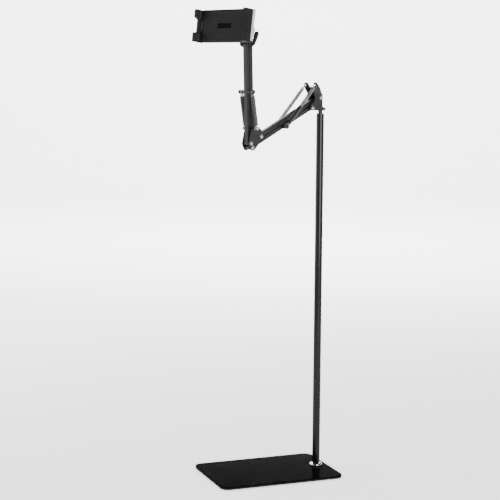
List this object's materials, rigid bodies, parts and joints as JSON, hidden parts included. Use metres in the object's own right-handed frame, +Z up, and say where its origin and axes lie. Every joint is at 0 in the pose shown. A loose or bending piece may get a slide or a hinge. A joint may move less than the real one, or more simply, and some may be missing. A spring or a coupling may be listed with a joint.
{
  "type": "phone and tablet floor stand",
  "caption": "Floor stand with a flat weighted base, an upright pole, a sprung double-link boom arm and a spring-loaded tablet holder that tilts, pans and turns.",
  "frame": {"origin": "on the floor, directly under the pole's axis, at the underside of the base mat", "axes": "+Z up along the pole, -Y the way the arm reaches and the tablet faces, +X to the right of somebody facing the tablet"},
  "size_m": [0.4179, 0.5496, 1.4598],
  "materials": {
    "gloss_black_coat": "gloss black powder coat",
    "satin_black_coat": "satin black powder coat",
    "chromed_steel": "polished chrome plate",
    "zinc_plated_steel": "bright zinc plate",
    "spring_wire": "bright drawn wire",
    "black_sleeve": "matt black tube",
    "black_plastic": "fine moulded texture",
    "holder_plastic": "fine spark-eroded texture",
    "grey_trim": "satin light grey",
    "black_rubber": "matt rubber"
  },
  "bodies": {
    "root": {"base_mat": "black_rubber", "base_plate": "gloss_black_coat", "foot_stud": "zinc_plated_steel", "foot_flange": "chromed_steel", "foot_insert": "zinc_plated_steel", "lower_pole": "gloss_black_coat", "pole_joiner": "zinc_plated_steel", "upper_pole": "gloss_black_coat", "pole_top_bush": "black_plastic"},
    "shoulder": {"swivel_shaft": "satin_black_coat", "shaft_screw": "zinc_plated_steel", "shoulder_bracket": "satin_black_coat", "shoulder_fasteners": "zinc_plated_steel", "shoulder_spacers": "black_plastic"},
    "lower_top_link": {"lower_top_tube": "satin_black_coat", "lower_top_plugs": "black_plastic"},
    "lower_bottom_link": {"lower_bottom_tube": "satin_black_coat", "lower_bottom_plugs": "black_plastic", "lower_spring_pin": "zinc_plated_steel", "lower_spring_rollers": "black_plastic"},
    "lower_springs": {"lower_spring_near": "spring_wire", "lower_spring_far": "spring_wire"},
    "lower_sleeve": {"lower_spring_sleeve": "black_sleeve"},
    "elbow": {"elbow_plate_near": "satin_black_coat", "elbow_plate_far": "satin_black_coat", "elbow_fasteners": "zinc_plated_steel", "elbow_spring_bolt": "zinc_plated_steel", "elbow_spacers": "black_plastic"},
    "upper_front_link": {"upper_front_tube": "satin_black_coat", "upper_front_plugs": "black_plastic", "upper_spring_pin": "zinc_plated_steel", "upper_spring_rollers": "black_plastic"},
    "upper_rear_link": {"upper_rear_tube": "satin_black_coat", "upper_rear_plugs": "black_plastic"},
    "upper_springs": {"upper_spring_near": "spring_wire", "upper_spring_far": "spring_wire"},
    "upper_sleeves": {"upper_spring_sleeves": "black_sleeve", "upper_spring_tails": "spring_wire"},
    "head": {"head_plate_near": "satin_black_coat", "head_plate_far": "satin_black_coat", "clamp_stud": "zinc_plated_steel", "head_fasteners": "zinc_plated_steel", "head_spacers": "black_plastic"},
    "lever": {"clamp_lever": "black_plastic"},
    "knuckle": {"tilt_knuckle": "black_plastic", "ball_collar": "black_plastic"},
    "ball": {"ball_stud": "zinc_plated_steel"},
    "holder": {"holder_shell": "holder_plastic", "holder_face": "holder_plastic", "recess_insert": "holder_plastic", "holder_mount_disc": "holder_plastic", "holder_screws": "zinc_plated_steel", "fixed_jaw": "holder_plastic", "fixed_jaw_pads": "black_rubber", "fixed_jaw_trim": "grey_trim", "jaw_return_spring": "spring_wire"},
    "jaw": {"sliding_jaw": "holder_plastic", "sliding_jaw_pads": "black_rubber", "sliding_jaw_trim": "grey_trim", "jaw_tongue": "grey_trim"}
  },
  "joints": [
    {"name": "arm_swivel", "type": "hinge", "parent": "root", "child": "shoulder", "pos_m": [0, 0, 1.151], "axis": [0, 0, 1], "continuous": true},
    {"name": "lower_arm_tilt", "type": "hinge", "parent": "shoulder", "child": "lower_top_link", "pos_m": [0, -0.0165, 1.202], "axis": [-1, 0, 0], "range_deg": [-2.5, 65]},
    {"name": "lower_bottom_pivot", "type": "hinge", "parent": "shoulder", "child": "lower_bottom_link", "pos_m": [0, -0.0545, 1.169], "axis": [-1, 0, 0], "range_deg": [-2.5, 65]},
    {"name": "elbow_level", "type": "hinge", "parent": "lower_top_link", "child": "elbow", "pos_m": [0, -0.2915, 1.0855], "axis": [1, 0, 0], "range_deg": [-2.5, 65]},
    {"name": "lower_spring_pivot", "type": "hinge", "parent": "shoulder", "child": "lower_springs", "pos_m": [0, -0.0515, 1.2405], "axis": [-1, 0, 0], "range_deg": [-2.21, 56.24], "deforming": ["lower_spring_near", "lower_spring_far"]},
    {"name": "lower_sleeve_pivot", "type": "hinge", "parent": "lower_bottom_link", "child": "lower_sleeve", "pos_m": [0, -0.18801, 1.11244], "axis": [-1, 0, 0], "range_deg": [-8.86, 0.39]},
    {"name": "upper_arm_tilt", "type": "hinge", "parent": "elbow", "child": "upper_front_link", "pos_m": [0, -0.336, 1.0655], "axis": [1, 0, 0], "range_deg": [-1.5, 95]},
    {"name": "upper_rear_pivot", "type": "hinge", "parent": "elbow", "child": "upper_rear_link", "pos_m": [0, -0.3215, 1.11], "axis": [1, 0, 0], "range_deg": [-1.5, 95]},
    {"name": "upper_spring_pivot", "type": "hinge", "parent": "elbow", "child": "upper_springs", "pos_m": [0, -0.3215, 1.11], "axis": [1, 0, 0], "range_deg": [-1.64, 100.47], "deforming": ["upper_spring_near", "upper_spring_far"]},
    {"name": "upper_sleeve_pivot", "type": "hinge", "parent": "upper_front_link", "child": "upper_sleeves", "pos_m": [0, -0.34134, 1.21841], "axis": [1, 0, 0], "range_deg": [-0.14, 5.46]},
    {"name": "head_level", "type": "hinge", "parent": "upper_front_link", "child": "head", "pos_m": [0, -0.34623, 1.35832], "axis": [-1, 0, 0], "range_deg": [-1.5, 95]},
    {"name": "clamp_lever_turn", "type": "hinge", "parent": "head", "child": "lever", "pos_m": [0.021, -0.34623, 1.35832], "axis": [1, 0, 0], "range_deg": [-90, 90]},
    {"name": "holder_tilt", "type": "hinge", "parent": "head", "child": "knuckle", "pos_m": [0, -0.3675, 1.3945], "axis": [1, 0, 0], "range_deg": [-60, 35]},
    {"name": "ball_pan", "type": "hinge", "parent": "knuckle", "child": "ball", "pos_m": [0, -0.39681, 1.40388], "axis": [0, 0, 1], "range_deg": [-18, 18]},
    {"name": "holder_turn", "type": "hinge", "parent": "ball", "child": "holder", "pos_m": [0, -0.39681, 1.40388], "axis": [0, -0.9925, 0.1219], "continuous": true},
    {"name": "jaw_slide", "type": "slide", "parent": "holder", "child": "jaw", "axis": [-0.9999, 0.0015, 0.012], "range_m": [0, 0.055], "stiffness_N_per_m": 80, "springref_m": -0.02, "deforming": ["jaw_return_spring"]}
  ],
  "couplings": [
    {"joint": "lower_bottom_pivot", "follows": "lower_arm_tilt", "ratio": 1},
    {"joint": "elbow_level", "follows": "lower_arm_tilt", "ratio": 1},
    {"joint": "lower_spring_pivot", "follows": "lower_arm_tilt", "ratio": 0.86451},
    {"joint": "lower_sleeve_pivot", "follows": "lower_arm_tilt", "ratio": -0.13549},
    {"joint": "upper_rear_pivot", "follows": "upper_arm_tilt", "ratio": 1},
    {"joint": "upper_spring_pivot", "follows": "upper_arm_tilt", "ratio": 1.057},
    {"joint": "upper_sleeve_pivot", "follows": "upper_arm_tilt", "ratio": 0.057},
    {"joint": "head_level", "follows": "upper_arm_tilt", "ratio": 1}
  ]
}
